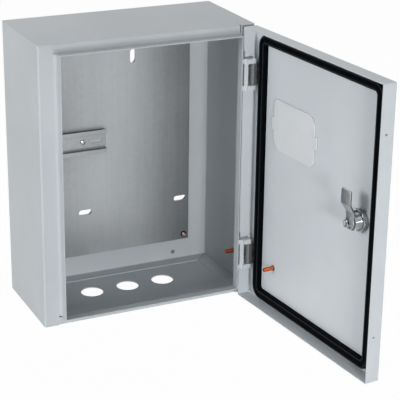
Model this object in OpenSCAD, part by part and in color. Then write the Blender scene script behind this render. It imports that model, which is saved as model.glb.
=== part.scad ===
// Wall cabinet for electrical gear, drawn with its door open.
// X runs to the right, Y to the wall, Z up. The origin is the centre of the back face.

/* [Cabinet] */
// outside width
body_w = 310; // [280:1:360]
// outside height
body_h = 395; // [360:1:450]
// depth from the wall to the front flange
body_d = 146; // [120:1:220]
// sheet thickness
sheet = 1.2; // [1:0.1:1.5]
// inner radius of the sheet bends
bend_r = 1.5; // [1:0.1:2.5]
// width of the side flanges up to the lip
side_flange = 26; // [24:0.5:32]
// height of the top and bottom flanges up to the lip
end_flange = 13; // [12:0.5:18]
// how far the lips stand forward of the flange
lip_l = 15; // [12:0.5:15]
// inner radius between flange and lip
lip_r = 4; // [2:0.5:5]
// width of the inward weld flanges
weld_w = 20; // [12:1:26]

/* [Floor holes] */
// radius of the cable holes
cable_r = 16; // [10:0.5:20]
// distance between cable holes
cable_pitch = 55; // [45:1:70]
// distance of the cable holes from the wall
cable_y = 64; // [45:1:85]

/* [Mounting plate] */
// plate width
plate_w = 240; // [200:1:250]
// plate height
plate_h = 321; // [280:1:330]
// plate thickness
plate_t = 1.5; // [1:0.1:3]
// gap between back wall and plate
plate_gap = 10; // [6:0.5:20]
// slot length
slot_l = 20; // [14:0.5:26]
// slot width
slot_w = 8; // [5:0.5:10]
// distance of the right lower slot from the plate's right edge
slot_in = 14; // [12:0.5:24]
// distance between the two lower slots
slot_pitch = 150; // [120:1:150]
// height of the upper slot above the plate centre
slot_top = 132; // [100:1:140]
// drop of the lower slots below the plate centre
slot_low = 94; // [70:1:120]
// inset of the plate studs from the plate edges
stud_inset = 8; // [7:0.5:12]

/* [Rail] */
// rail length
rail_l = 102; // [60:1:104]
// right end of the rail
rail_end = -12; // [-20:1:-10]
// height of the rail above the plate centre
rail_z = 13.5; // [-20:0.5:30]
// rail slot length
rail_slot = 18; // [12:1:20]

/* [Studs] */
// stud radius
stud_r = 3; // [2.5:0.25:4]
// length of the earth studs
earth_l = 16; // [14:1:26]
// length of the plate studs
plate_stud_l = 21; // [20:0.5:30]

/* [Door] */
// gap between door lip and front flange
door_gap = 3.5; // [3.5:0.1:5]
// depth of the door tray
tray_d = 20.5; // [20.5:0.5:26]
// opening angle as drawn
door_open = 95; // [0:1:115]
// gasket width
gasket_w = 14; // [12:0.5:15]
// gasket height above the door sheet
gasket_h = 7.5; // [5:0.1:7.5]
// middle radius of the gasket corners
gasket_r = 11; // [9:0.5:20]
// how far the gasket's free side stands outside the lip
gasket_out = 4; // [0:0.5:5]

/* [Window] */
// pane width
pane_w = 95; // [80:1:110]
// pane height
pane_h = 70; // [60:1:80]
// pane centre from the hinge edge
pane_u = 102; // [100:1:120]
// pane centre above the door centre
pane_z = 74; // [60:1:100]
// rim of the pane that lies on the sheet
pane_rim = 7; // [6:0.5:12]
// large corner radius of the pane
pane_r = 18; // [10:1:24]

/* [Hinges] */
// pin distance from the door's hinge edge
pin_in = 8.5; // [8:0.1:9]
// pin distance in front of the flange
pin_out = 15; // [14.5:0.1:16]
// pin radius
pin_r = 2; // [1.5:0.1:2.5]
// hinge height
hinge_h = 44; // [38:1:60]
// height of each ear
ear_h = 6.5; // [5:0.5:10]
// distance of the hinges' middles from the cabinet ends
hinge_in = 65.5; // [58:0.5:100]

/* [Lock] */
// lock distance from the free edge
lock_in = 52; // [50:1:70]
// lock height above the door centre
lock_z = 5; // [-40:1:40]
// lock housing radius
lock_r = 11; // [10:0.5:12]
// cam length from the lock axis
cam_l = 45.5; // [42:0.5:46]
// cam width
cam_w = 20; // [16:0.5:24]

/* [Hidden] */
$fn = 48;

eps = 0.01;
arc_steps = 6;
half_w = body_w / 2;
half_h = body_h / 2;
front = -body_d;
bend_o = bend_r + sheet;
wall_h = body_h - 2 * sheet;
seam_gap = 0.3;
corner_slit = 1.6;
lip_short = 0.8;
mitre_gap = 1.2;
lip_x = half_w - side_flange;
lip_z = half_h - end_flange;
seam_x = lip_x + sheet + lip_r;

paint = [0.75, 0.77, 0.77];
zinc = [0.70, 0.72, 0.74];
copper = [0.78, 0.42, 0.18];
steel = [0.55, 0.56, 0.58];
rubber = [0.06, 0.06, 0.07];
clear = [0.85, 0.90, 0.92];

plug_r = 2;
plug_head_r = 3.2;
plug_head_t = 0.8;
plug_in = 55;
plug_up = 13;
plug_x = half_w - plug_in;
plug_z = -half_h + plug_up;
wall_hole_r = 3.5;
wall_hole_in = 30;
wall_hole_down = 40;
wall_hole_x = plate_w / 2 - wall_hole_in;
wall_hole_z = plate_h / 2 - wall_hole_down;
back_slot_margin = 4;
slot_x = plate_w / 2 - slot_in - slot_pitch / 2;

plate_back = -sheet - plate_gap;
plate_front = plate_back - plate_t;
stud_x = plate_w / 2 - stud_inset;
stud_z = plate_h / 2 - stud_inset;
stud_foot_r = stud_r + 0.75;
stud_foot_t = 1;
stud_tip_l = 1;
stud_tip_r = stud_r - 0.8;
stud_clear = 0.4;
spacer_r = 6.5;
washer_r = 4.6;
washer_t = 1;
washer_fit = 0.05;

rail_h = 35;
rail_web = 25;
rail_depth = 7.5;
rail_t = 1;
rail_slot_w = 6.3;
rail_mid = rail_end - rail_l / 2;
rail_rivet_in = 34.5;
rail_slot_in = 15;
rail_rivet_x = rail_l / 2 - rail_rivet_in;
rail_slot_x = rail_l / 2 - rail_slot_in;
rivet_r = 2;
rivet_head_r = 3.6;
rivet_head_t = 1.4;
rivet_fit = 0.1;
rivet_top = 0.6;
rivet_tail = 0.8;

earth_in = 42;
earth_up = 47;
earth_y = front + earth_in;
earth_z = -half_h + earth_up;
door_stud_u = 61;
door_stud_up = 61;
door_stud_z = -half_h + door_stud_up;

door_out = front - door_gap - tray_d;
door_in = door_out + sheet;
door_lip = front - door_gap;
door_bend = 1;
door_bend_o = door_bend + sheet;
tray_hole_r = 1.5;
tray_hole_in = 64;
tray_hole_deep = 12;
tray_hole_z = half_h - tray_hole_in;
tray_hole_y = door_out + tray_hole_deep;
gasket_ridge = gasket_w * 0.23;
gasket_lean = 0.4;

pin_x = half_w - pin_in;
pin_y = front - pin_out;
hinge_z = half_h - hinge_in;
knuckle_r = 4.8;
knuckle_flat = 4.2;
leaf_t = 2;
foot_rest = 0.5;
ear_r = 3.6;
ear_left = 9.5;
ear_right = 1.5;
ear_gap = 0.4;
web_in = 2.2;
web_out = 7.6;
knuckle_gap = 0.25;
pin_fit = 0.03;
turn_fit = 0.06;
pin_head_r = 3.2;
pin_head_t = 1.5;
notch_gap = 1.2;
relief_h = 8;
relief_d = 1.8;
notch_rest = 0.5;
notch_d = tray_d - sheet - door_bend - notch_rest;
leaf_rivet_r = 1.6;
leaf_rivet_head_r = 2.8;
leaf_rivet_head_t = 1.2;
leaf_rivet_z = 8;
door_rivet_in = 5;
door_rivet_x = pin_x - door_rivet_in;

pane_x = half_w - pane_u;
pane_t = 1.6;
pane_fit = 0.3;
pane_seal_t = 0.5;
pane_chamfer = 6;
tab_l = 5;
tab_h = 17;
opening_r = 6;
opening_w = pane_w - 2 * pane_rim;
opening_h = pane_h - 2 * pane_rim;

lock_x = -half_w + lock_in;
lock_fit = 0.2;
lock_seal_t = 1;
lock_flange_r = lock_r + 4;
lock_flange_t = 3;
lock_front = door_out - lock_seal_t - lock_flange_t;
lock_l = 18.2;
lock_end = door_out + lock_l;
lock_washer_t = 1.2;
lock_nut_af = 2 * lock_r + 6;
lock_nut_t = 6;
core_r = 6.5;
core_head_r = 7.6;
core_head_t = 2;
core_fit = 0.06;
core_gap = 0.1;
cam_gap = 0.3;
cam_t = 2.5;
cam_start = lock_end + cam_gap;
cam_behind = 0.8;
cam_step = front + sheet + cam_behind - cam_start;
cam_bend_r = 3;
cam_mid_r = cam_bend_r + cam_t / 2;
cam_turn = 32;
cam_slope = (cam_step - 2 * cam_mid_r * (1 - cos(cam_turn))) / sin(cam_turn);
cam_low = 13;
cam_high = cam_low + 2 * cam_mid_r * sin(cam_turn) + cam_slope * cos(cam_turn);
cam_tail = 9;
cam_neck = 15;
cam_corner = 3;
drive = 8;
drive_fit = 0.05;
drive_short = 0.3;
socket_r = 4.2;
socket_d = 8;
post_r = 1.6;
wing_w = 1.8;
wing_r = socket_r + 0.5;
bolt_r = 3;
bolt_af = 10;
bolt_head_t = 5;
bolt_in = 7;
cam_washer_r = 7.7;
cam_washer_t = 1.2;

// turns closed-door places to the opening angle
module swing() {
    translate([pin_x, pin_y, 0])
        rotate([0, 0, door_open])
            translate([-pin_x, -pin_y, 0])
                children();
}

// a box given by its two corners
module span(a, b) {
    translate(a)
        cube(b - a);
}

// round bar along Y from y to y plus l
module bar_y(r, y, l, x = 0, z = 0) {
    translate([x, y + l, z])
        rotate([90, 0, 0])
            cylinder(r = r, h = l);
}

// quarter bend of the sheet round a Z axis
module bend_z(x, y, r, turn, z, h) {
    translate([x, y, z])
        rotate([0, 0, turn])
            rotate_extrude(angle = 90)
                translate([r, 0])
                    square([sheet, h]);
}

// quarter bend of the sheet round an X axis, from x over l
module bend_x(x, l, y, z, r, turn) {
    translate([x, y, z])
        rotate([turn, 0, 0])
            rotate([90, 0, 90])
                rotate_extrude(angle = 90)
                    translate([r, 0])
                        square([sheet, l]);
}

// points of an arc round c from angle a to angle b
function arc(c, r, a, b) = [for (i = [0:arc_steps])
    let (turn = a + (b - a) * i / arc_steps)
    c + r * [cos(turn), sin(turn)]];

// slot along X, cut through the given Y range
module slot_cut(l, w, y, t) {
    span([-(l - w) / 2, y, -w / 2], [(l - w) / 2, y + t, w / 2]);
    for (s = [-1, 1])
        bar_y(w / 2, y, t, s * (l - w) / 2);
}

// places of the three slots of the mounting plate
module at_slots() {
    translate([slot_x, 0, slot_top])
        rotate([0, 90, 0])
            children();
    for (s = [-1, 1])
        translate([slot_x + s * slot_pitch / 2, 0, -slot_low])
            children();
}

// places of the four plate studs
module at_studs() {
    for (x = [-stud_x, stud_x], z = [-stud_z, stud_z])
        translate([x, 0, z])
            children();
}

// one side of the wrapped sheet, drawn for the right hand
module side_sheet() {
    span([half_w - sheet, front + bend_o, -wall_h / 2], [half_w, -bend_o, wall_h / 2]);
    bend_z(half_w - bend_o, -bend_o, bend_r, 0, -wall_h / 2, wall_h);
    bend_z(half_w - bend_o, front + bend_o, bend_r, -90, -wall_h / 2, wall_h);
    span([seam_x, front, -wall_h / 2], [half_w - bend_o, front + sheet, wall_h / 2]);
    bend_z(seam_x, front - lip_r, lip_r, 90, -lip_z + seam_gap, 2 * (lip_z - seam_gap));
    span([lip_x, front - lip_l, -lip_z + seam_gap], [lip_x + sheet, front - lip_r, lip_z - seam_gap]);
}

// inward weld flanges under the roof panel, mitred at the back corners
module weld_flanges() {
    side = half_w - sheet / 2;
    relief = 3;
    inner = half_w - sheet - weld_w;
    translate([0, 0, wall_h / 2 - sheet])
        linear_extrude(sheet) {
            polygon([[-side + bend_o, -sheet / 2], [side - bend_o, -sheet / 2],
                     [inner - mitre_gap, -sheet - weld_w], [-inner + mitre_gap, -sheet - weld_w]]);
            for (s = [-1, 1])
                scale([s, 1])
                    polygon([[side, -bend_o - sheet], [side, front + bend_o + relief],
                             [inner, front + bend_o + relief], [inner, -sheet - weld_w - mitre_gap]]);
        }
}

module body_wrap() {
    color(paint)
        difference() {
            union() {
                span([-half_w + bend_o, -sheet, -wall_h / 2], [half_w - bend_o, 0, wall_h / 2]);
                side_sheet();
                mirror([1, 0, 0])
                    side_sheet();
                weld_flanges();
                mirror([0, 0, 1])
                    weld_flanges();
            }
            at_slots()
                slot_cut(slot_l + 2 * back_slot_margin, slot_w + 2 * back_slot_margin, -sheet - 1, sheet + 2);
            for (x = [-wall_hole_x, wall_hole_x], z = [-wall_hole_z, wall_hole_z])
                bar_y(wall_hole_r, -sheet - 1, sheet + 2, x, z);
            bar_y(plug_r + rivet_fit, -sheet - 1, sheet + 2, plug_x, plug_z);
            for (z = [-hinge_z, hinge_z], s = [-1, 1])
                bar_y(leaf_rivet_r + rivet_fit, front - 1, sheet + 2, pin_x, z + s * leaf_rivet_z);
        }
}

// roof sheet with its front flange and lip: welded shut on the left, a slit on the right
module end_panel() {
    top = half_h - sheet;
    edge = half_w - bend_o;
    slit = seam_x - corner_slit;
    flange_w = seam_x + slit;
    span([-half_w, front + bend_o, top], [half_w, -bend_o, half_h]);
    span([-edge, -bend_o, top], [edge, 0, half_h]);
    for (s = [-1, 1]) {
        translate([s * edge, -bend_o, top])
            cylinder(r = bend_o, h = sheet);
        translate([s * edge, front + bend_o, top])
            cylinder(r = bend_o, h = sheet);
        span([s > 0 ? seam_x : -edge, front, top], [s > 0 ? edge : -seam_x, front + bend_o, half_h]);
    }
    bend_x(-seam_x, flange_w, front + bend_o, half_h - bend_o, bend_r, 90);
    span([-seam_x, front, lip_z + sheet + lip_r], [slit, front + sheet, half_h - bend_o]);
    bend_x(-seam_x, flange_w, front - lip_r, lip_z + sheet + lip_r, lip_r, -90);
    span([-lip_x - sheet, front - lip_l, lip_z], [slit - lip_short, front - lip_r, lip_z + sheet]);
}

module roof_panel() {
    color(paint)
        end_panel();
}

module floor_panel() {
    color(paint)
        difference() {
            mirror([0, 0, 1])
                end_panel();
            for (i = [-1:1])
                translate([i * cable_pitch, -cable_y, -half_h - 1])
                    cylinder(r = cable_r, h = sheet + 2);
        }
}

module mounting_plate() {
    color(zinc)
        difference() {
            span([-plate_w / 2, plate_front, -plate_h / 2], [plate_w / 2, plate_back, plate_h / 2]);
            at_slots()
                slot_cut(slot_l, slot_w, plate_front - 1, plate_t + 2);
            at_studs()
                bar_y(stud_r + stud_clear, plate_front - 1, plate_t + 2);
            for (s = [-1, 1])
                bar_y(rivet_r + rivet_fit, plate_front - 1, plate_t + 2, rail_mid + s * rail_rivet_x, rail_z);
        }
}

// weld stud that points to the front, its foot at y = 0
module stud(l) {
    bar_y(stud_foot_r, -stud_foot_t, stud_foot_t);
    bar_y(stud_r, -l + stud_tip_l, l - stud_tip_l);
    translate([0, -l + stud_tip_l, 0])
        rotate([90, 0, 0])
            cylinder(r1 = stud_r, r2 = stud_tip_r, h = stud_tip_l);
}

module plate_studs() {
    color(copper)
        at_studs()
            translate([0, -sheet, 0])
                stud(plate_stud_l);
}

module plate_spacers() {
    color(steel)
        at_studs()
            difference() {
                bar_y(spacer_r, plate_back, plate_gap);
                bar_y(stud_foot_r + stud_clear, plate_back - 1, plate_gap + 2);
            }
}

module plate_washers() {
    color(rubber)
        at_studs()
            difference() {
                bar_y(washer_r, plate_front - washer_t, washer_t);
                bar_y(stud_r + washer_fit, plate_front - washer_t - 1, washer_t + 2);
            }
}

module top_hat_rail() {
    side = (rail_h - rail_web) / 2;
    color(zinc)
        difference() {
            translate([rail_mid, plate_front, rail_z]) {
                span([-rail_l / 2, -rail_t, -rail_web / 2], [rail_l / 2, 0, rail_web / 2]);
                for (s = [-1, 1])
                    scale([1, 1, s]) {
                        span([-rail_l / 2, -rail_depth, rail_web / 2 - rail_t],
                             [rail_l / 2, 0, rail_web / 2]);
                        span([-rail_l / 2, -rail_depth, rail_web / 2 - rail_t],
                             [rail_l / 2, -rail_depth + rail_t, rail_web / 2 + side]);
                    }
            }
            for (s = [-1, 1]) {
                translate([rail_mid + s * rail_slot_x, 0, rail_z])
                    slot_cut(rail_slot, rail_slot_w, plate_front - rail_t - 1, rail_t + 2);
                bar_y(rivet_r + rivet_fit, plate_front - rail_t - 1, rail_t + 2,
                      rail_mid + s * rail_rivet_x, rail_z);
            }
        }
}

// rivet along Y, head towards the front on the face y, tail head behind the grip
module rivet(r, head_r, head_t, y, grip) {
    bar_y(r, y, grip);
    bar_y(head_r, y - head_t / 2, head_t / 2);
    translate([0, y - head_t / 2, 0])
        rotate([90, 0, 0])
            cylinder(r1 = head_r, r2 = head_r * rivet_top, h = head_t / 2);
    bar_y(head_r * rivet_tail, y + grip, head_t / 2);
}

module rail_rivets() {
    color(steel)
        for (s = [-1, 1])
            translate([rail_mid + s * rail_rivet_x, 0, rail_z])
                rivet(rivet_r, rivet_head_r, rivet_head_t, plate_front - rail_t, plate_t + rail_t);
}

module body_earth_stud() {
    color(copper)
        translate([half_w - sheet, earth_y, earth_z])
            rotate([0, 0, -90])
                stud(earth_l);
}

module back_wall_plug() {
    color(rubber)
        translate([plug_x, 0, plug_z]) {
            bar_y(plug_r, -sheet, sheet);
            bar_y(plug_head_r, -sheet - plug_head_t, plug_head_t);
        }
}

// bent rim of the door tray: four flanges, their bends and the round corners
module door_flanges() {
    edge_x = half_w - door_bend_o;
    edge_z = half_h - door_bend_o;
    start = door_out + door_bend_o;
    for (s = [-1, 1]) {
        scale([s, 1, 1]) {
            span([half_w - sheet, start, -edge_z], [half_w, door_lip, edge_z]);
            bend_z(edge_x, start, door_bend, -90, -edge_z, 2 * edge_z);
        }
        scale([1, 1, s]) {
            span([-edge_x, start, half_h - sheet], [edge_x, door_lip, half_h]);
            bend_x(-edge_x, 2 * edge_x, start, edge_z, door_bend, 90);
            for (m = [-1, 1])
                scale([m, 1, 1])
                    translate([edge_x, start, edge_z]) {
                        sphere(r = door_bend_o);
                        translate([0, door_lip - start, 0])
                            rotate([90, 0, 0])
                                rotate_extrude(angle = 90)
                                    translate([door_bend, 0])
                                        square([sheet, door_lip - start]);
                    }
        }
    }
}

// rectangle with round corners cut along Y
module round_window(w, h, r, y, t) {
    span([-w / 2, y, -h / 2 + r], [w / 2, y + t, h / 2 - r]);
    span([-w / 2 + r, y, -h / 2], [w / 2 - r, y + t, h / 2]);
    for (x = [-1, 1], z = [-1, 1])
        bar_y(r, y, t, x * (w / 2 - r), z * (h / 2 - r));
}

// cut in the door's rim that lets a hinge through, with a slit above it
module hinge_notch(z) {
    low = z - hinge_h / 2 - notch_gap;
    high = z + hinge_h / 2 + notch_gap;
    span([half_w - sheet - 1, door_lip - notch_d, low], [half_w + 1, door_lip + 1, high]);
    span([half_w - sheet - 1, door_lip - relief_d, z], [half_w + 1, door_lip + 1, high + relief_h]);
}

module door_panel() {
    color(paint)
        swing()
            difference() {
                union() {
                    span([-half_w + door_bend_o, door_out, -half_h + door_bend_o],
                         [half_w - door_bend_o, door_in, half_h - door_bend_o]);
                    door_flanges();
                }
                translate([pane_x, 0, pane_z])
                    round_window(opening_w, opening_h, opening_r, door_out - 1, sheet + 2);
                bar_y(lock_r + lock_fit, door_out - 1, sheet + 2, lock_x, lock_z);
                for (z = [-hinge_z, hinge_z])
                    hinge_notch(z);
                for (z = [-tray_hole_z, tray_hole_z])
                    translate([-half_w - 1, tray_hole_y, z])
                        rotate([0, 90, 0])
                            cylinder(r = tray_hole_r, h = sheet + 2);
            }
}

// gasket section: a flat foot with two round ridges and a groove between them
module gasket_section() {
    top = gasket_w / 2 - gasket_lean;
    crest = gasket_h - gasket_ridge;
    polygon([[-gasket_w / 2, 0], [gasket_w / 2, 0], [top, crest], [-top, crest]]);
    for (s = [-1, 1])
        translate([s * (top - gasket_ridge), crest])
            circle(r = gasket_ridge, $fn = 24);
}

module door_gasket() {
    aside = gasket_out / 2;
    mid_x = lip_x + sheet / 2 + aside;
    mid_z = lip_z + sheet / 2;
    color(rubber)
        swing()
            translate([-aside, door_in, 0])
                for (s = [0, 180])
                    rotate([0, s, 0]) {
                        translate([mid_x, 0, -mid_z + gasket_r])
                            linear_extrude(2 * (mid_z - gasket_r))
                                gasket_section();
                        translate([-mid_x + gasket_r, 0, mid_z])
                            rotate([0, 90, 0])
                                linear_extrude(2 * (mid_x - gasket_r))
                                    gasket_section();
                        for (m = [0, 1])
                            mirror([m, 0, 0])
                                translate([mid_x - gasket_r, 0, mid_z - gasket_r])
                                    rotate([-90, -90, 0])
                                        rotate_extrude(angle = 90)
                                            translate([gasket_r, 0])
                                                gasket_section();
                    }
}

module door_earth_stud() {
    color(copper)
        swing()
            translate([half_w - door_stud_u, door_in, door_stud_z])
                rotate([0, 0, 180])
                    stud(earth_l);
}

// pane outline: two opposite corners rounded, two cut, with a tab on each side
module pane_outline(y, t) {
    difference() {
        union() {
            span([-pane_w / 2, y, -pane_h / 2 + pane_r], [pane_w / 2, y + t, pane_h / 2 - pane_r]);
            for (s = [0, 180])
                rotate([0, s, 0]) {
                    span([-pane_w / 2, y, -eps], [pane_w / 2 - pane_r, y + t, pane_h / 2]);
                    bar_y(pane_r, y, t, pane_w / 2 - pane_r, pane_h / 2 - pane_r);
                    span([pane_w / 2 - 1, y, -tab_h / 2], [pane_w / 2 + tab_l, y + t, tab_h / 2]);
                }
        }
        for (s = [0, 180])
            rotate([0, s, 0])
                translate([-pane_w / 2, 0, pane_h / 2])
                    rotate([0, 45, 0])
                        span([-pane_chamfer / sqrt(2), y - 1, -pane_chamfer * 2],
                             [pane_chamfer / sqrt(2), y + t + 1, pane_chamfer * 2]);
    }
}

module window_pane() {
    color(clear)
        swing()
            translate([pane_x, 0, pane_z]) {
                mirror([1, 0, 0])
                    pane_outline(door_in + pane_seal_t, pane_t);
                round_window(opening_w - 2 * pane_fit, opening_h - 2 * pane_fit, opening_r - pane_fit,
                             door_out, sheet + pane_seal_t);
            }
}

module window_seal() {
    rim = 5;
    color(rubber)
        swing()
            translate([pane_x, 0, pane_z])
                difference() {
                    round_window(opening_w + 2 * rim, opening_h + 2 * rim, opening_r + rim,
                                 door_in, pane_seal_t);
                    round_window(opening_w + 1, opening_h + 1, opening_r, door_in - 1, pane_seal_t + 2);
                }
}

// body leaf: a foot on the front flange, a web beside the lip, and two ears that carry the pin
module body_leaf(z) {
    foot_right = half_w - bend_o - foot_rest;
    foot = front - leaf_t;
    ear_start = lip_x + sheet + ear_gap;
    ear_step = pin_x - ear_left;
    shelf = pin_y + ear_gap;
    bend = front - lip_r - sheet;
    web_end = pin_x - web_out;
    color(paint)
        translate([0, 0, z])
            difference() {
                union() {
                    span([seam_x, foot, -hinge_h / 2], [foot_right, front, hinge_h / 2]);
                    span([ear_start + web_in, shelf, -hinge_h / 2], [web_end, bend, hinge_h / 2]);
                    span([seam_x, shelf, -hinge_h / 2], [web_end, foot + eps, hinge_h / 2]);
                    for (s = [-1, 1])
                        scale([1, 1, s])
                            translate([0, 0, hinge_h / 2 - ear_h]) {
                                span([ear_start, shelf, 0], [ear_step + 1, bend, ear_h]);
                                span([ear_step, pin_y - ear_r, 0], [pin_x, foot + eps, ear_h]);
                                span([ear_step, pin_y, 0], [pin_x + ear_right, foot + eps, ear_h]);
                                translate([pin_x, pin_y, 0])
                                    cylinder(r = ear_r, h = ear_h);
                            }
                }
                translate([pin_x, pin_y, -hinge_h / 2 - 1])
                    cylinder(r = pin_r + pin_fit, h = hinge_h + 2);
                for (s = [-1, 1])
                    bar_y(leaf_rivet_r + rivet_fit, foot - 1, leaf_t + 2, pin_x, s * leaf_rivet_z);
            }
}

// door leaf: a foot on the door sheet and a knuckle with one flat side round the pin
module door_leaf(z) {
    knuckle_h = hinge_h - 2 * ear_h - 2 * knuckle_gap;
    foot_left = pin_x - ear_left + foot_rest;
    foot_right = half_w - sheet - door_bend - 2 * foot_rest;
    color(zinc)
        swing()
            translate([0, 0, z])
                difference() {
                    union() {
                        span([foot_left, door_in, -knuckle_h / 2],
                             [foot_right, door_in + leaf_t, knuckle_h / 2]);
                        span([pin_x - 1, door_in, -knuckle_h / 2], [pin_x + knuckle_r, pin_y, knuckle_h / 2]);
                        translate([pin_x, pin_y, -knuckle_h / 2])
                            cylinder(r = knuckle_r, h = knuckle_h);
                    }
                    span([pin_x - knuckle_r - 1, pin_y - knuckle_r, -knuckle_h / 2 - 1],
                         [pin_x - knuckle_flat, pin_y + knuckle_r, knuckle_h / 2 + 1]);
                    translate([pin_x, pin_y, -knuckle_h / 2 - 1])
                        cylinder(r = pin_r + turn_fit, h = knuckle_h + 2);
                    for (s = [-1, 1])
                        bar_y(leaf_rivet_r + rivet_fit, door_in - 1, leaf_t + 2,
                              door_rivet_x, s * leaf_rivet_z);
                }
}

// hinge pin with its head on the upper ear
module hinge_pin(z) {
    color(steel)
        translate([pin_x, pin_y, z - hinge_h / 2]) {
            cylinder(r = pin_r, h = hinge_h);
            translate([0, 0, hinge_h])
                cylinder(r = pin_head_r, h = pin_head_t);
        }
}

module upper_body_leaf() {
    body_leaf(hinge_z);
}

module lower_body_leaf() {
    body_leaf(-hinge_z);
}

module upper_door_leaf() {
    door_leaf(hinge_z);
}

module lower_door_leaf() {
    door_leaf(-hinge_z);
}

module upper_pin() {
    hinge_pin(hinge_z);
}

module lower_pin() {
    hinge_pin(-hinge_z);
}

module body_leaf_rivets() {
    color(steel)
        for (z = [-hinge_z, hinge_z], s = [-1, 1])
            translate([pin_x, 0, z + s * leaf_rivet_z])
                rivet(leaf_rivet_r, leaf_rivet_head_r, leaf_rivet_head_t, front - leaf_t, leaf_t + sheet);
}

module door_leaf_rivets() {
    color(steel)
        swing()
            for (z = [-hinge_z, hinge_z], s = [-1, 1])
                translate([door_rivet_x, 0, z + s * leaf_rivet_z]) {
                    bar_y(leaf_rivet_r, door_in, leaf_t);
                    bar_y(leaf_rivet_head_r, door_in + leaf_t, leaf_rivet_head_t);
                }
}

// moves lock pieces to the lock axis
module at_lock() {
    swing()
        translate([lock_x, 0, lock_z])
            children();
}

module lock_housing() {
    color(steel)
        at_lock()
            difference() {
                union() {
                    bar_y(lock_flange_r, lock_front, lock_flange_t);
                    bar_y(lock_r, lock_front + 1, lock_end - lock_front - 1);
                }
                bar_y(core_r + core_fit, lock_front - 1, lock_end - lock_front + 2);
                bar_y(core_head_r + core_fit, lock_front - 1, core_head_t + 1);
            }
}

module lock_seal() {
    color(rubber)
        at_lock()
            difference() {
                bar_y(lock_flange_r - 1, door_out - lock_seal_t, lock_seal_t);
                bar_y(lock_r + lock_fit, door_out - lock_seal_t - 1, lock_seal_t + 2);
            }
}

module lock_washer() {
    color(steel)
        at_lock()
            difference() {
                bar_y(lock_nut_af / 2 + 1, door_in, lock_washer_t);
                bar_y(lock_r + lock_fit, door_in - 1, lock_washer_t + 2);
            }
}

module lock_nut() {
    color(steel)
        at_lock()
            difference() {
                translate([0, door_in + lock_washer_t + lock_nut_t, 0])
                    rotate([90, 0, 0])
                        cylinder(r = lock_nut_af / sqrt(3), h = lock_nut_t, $fn = 6);
                bar_y(lock_r + rivet_fit, door_in, lock_washer_t + lock_nut_t + 1);
            }
}

module lock_core() {
    shoulder = lock_front + core_head_t - core_gap;
    color(steel)
        at_lock()
            difference() {
                union() {
                    difference() {
                        union() {
                            bar_y(core_head_r, lock_front, core_head_t - core_gap);
                            bar_y(core_r, shoulder - 1, lock_end - shoulder + 1);
                        }
                        bar_y(socket_r, lock_front - 1, socket_d + 1);
                    }
                    bar_y(post_r, lock_front, socket_d + 1);
                    span([-wing_r, lock_front + 1, -wing_w / 2],
                         [wing_r, lock_front + socket_d + 1, wing_w / 2]);
                    span([-drive / 2, lock_end - 1, -drive / 2],
                         [drive / 2, cam_start + cam_t - drive_short, drive / 2]);
                }
                bar_y(bolt_r, lock_end - bolt_in - 1, bolt_in + 2 + cam_gap + cam_t);
            }
}

// cam strip bent twice, so that its tongue lies behind the front flange
module cam_strip() {
    w = cam_w + 2;
    far_r = cam_bend_r + cam_t;
    low = [far_r, cam_low];
    high = [cam_step - cam_bend_r, cam_high];
    foot = -cam_tail - 1;
    tip = cam_l + 1;
    translate([-w / 2, cam_start, 0])
        rotate([90, 0, 90])
            linear_extrude(w)
                polygon(concat([[0, foot]], arc(low, far_r, 180, 180 - cam_turn),
                               arc(high, cam_bend_r, -cam_turn, 0),
                               [[cam_step, tip], [cam_step + cam_t, tip]], arc(high, far_r, 0, -cam_turn),
                               arc(low, cam_bend_r, 180 - cam_turn, 180), [[cam_t, foot]]));
}

// cam outline seen along the lock axis: round at the lock and wider at the tongue
module cam_outline() {
    y = cam_start - 1;
    t = cam_step + cam_t + 2;
    side = cam_w / 2;
    shoulder = cam_high + cam_t;
    bar_y(cam_tail, y, t);
    translate([0, y + t, 0])
        rotate([90, 0, 0])
            linear_extrude(t)
                polygon([[-cam_neck / 2, 0], [cam_neck / 2, 0], [side, shoulder], [side, cam_l - cam_corner],
                         [side - cam_corner, cam_l], [-side + cam_corner, cam_l], [-side, cam_l - cam_corner],
                         [-side, shoulder]]);
    for (s = [-1, 1])
        bar_y(cam_corner, y, t, s * (side - cam_corner), cam_l - cam_corner);
}

module lock_cam() {
    hole = drive / 2 + drive_fit;
    color(steel)
        at_lock()
            difference() {
                intersection() {
                    cam_strip();
                    cam_outline();
                }
                span([-hole, cam_start - 1, -hole], [hole, cam_start + cam_t + 1, hole]);
            }
}

module cam_washer() {
    color(zinc)
        at_lock()
            difference() {
                bar_y(cam_washer_r, cam_start + cam_t, cam_washer_t);
                bar_y(bolt_r + lock_fit, cam_start + cam_t - 1, cam_washer_t + 2);
            }
}

module cam_bolt() {
    seat = cam_start + cam_t + cam_washer_t;
    color(zinc)
        at_lock() {
            bar_y(bolt_r - pin_fit, lock_end - bolt_in, seat - lock_end + bolt_in + eps);
            translate([0, seat + bolt_head_t, 0])
                rotate([90, 0, 0])
                    cylinder(r = bolt_af / sqrt(3), h = bolt_head_t, $fn = 6);
        }
}

body_wrap();
roof_panel();
floor_panel();
mounting_plate();
plate_studs();
plate_spacers();
plate_washers();
top_hat_rail();
rail_rivets();
body_earth_stud();
back_wall_plug();
door_panel();
door_gasket();
door_earth_stud();
window_pane();
window_seal();
upper_body_leaf();
upper_door_leaf();
upper_pin();
lower_body_leaf();
lower_door_leaf();
lower_pin();
body_leaf_rivets();
door_leaf_rivets();
lock_housing();
lock_seal();
lock_washer();
lock_nut();
lock_core();
lock_cam();
cam_washer();
cam_bolt();
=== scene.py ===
"""Looks of an open wall cabinet: paint, zinc, copper, rubber, chrome and a milky pane."""

import math

import bpy
import numpy as np
from mathutils import Matrix, Vector


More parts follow.
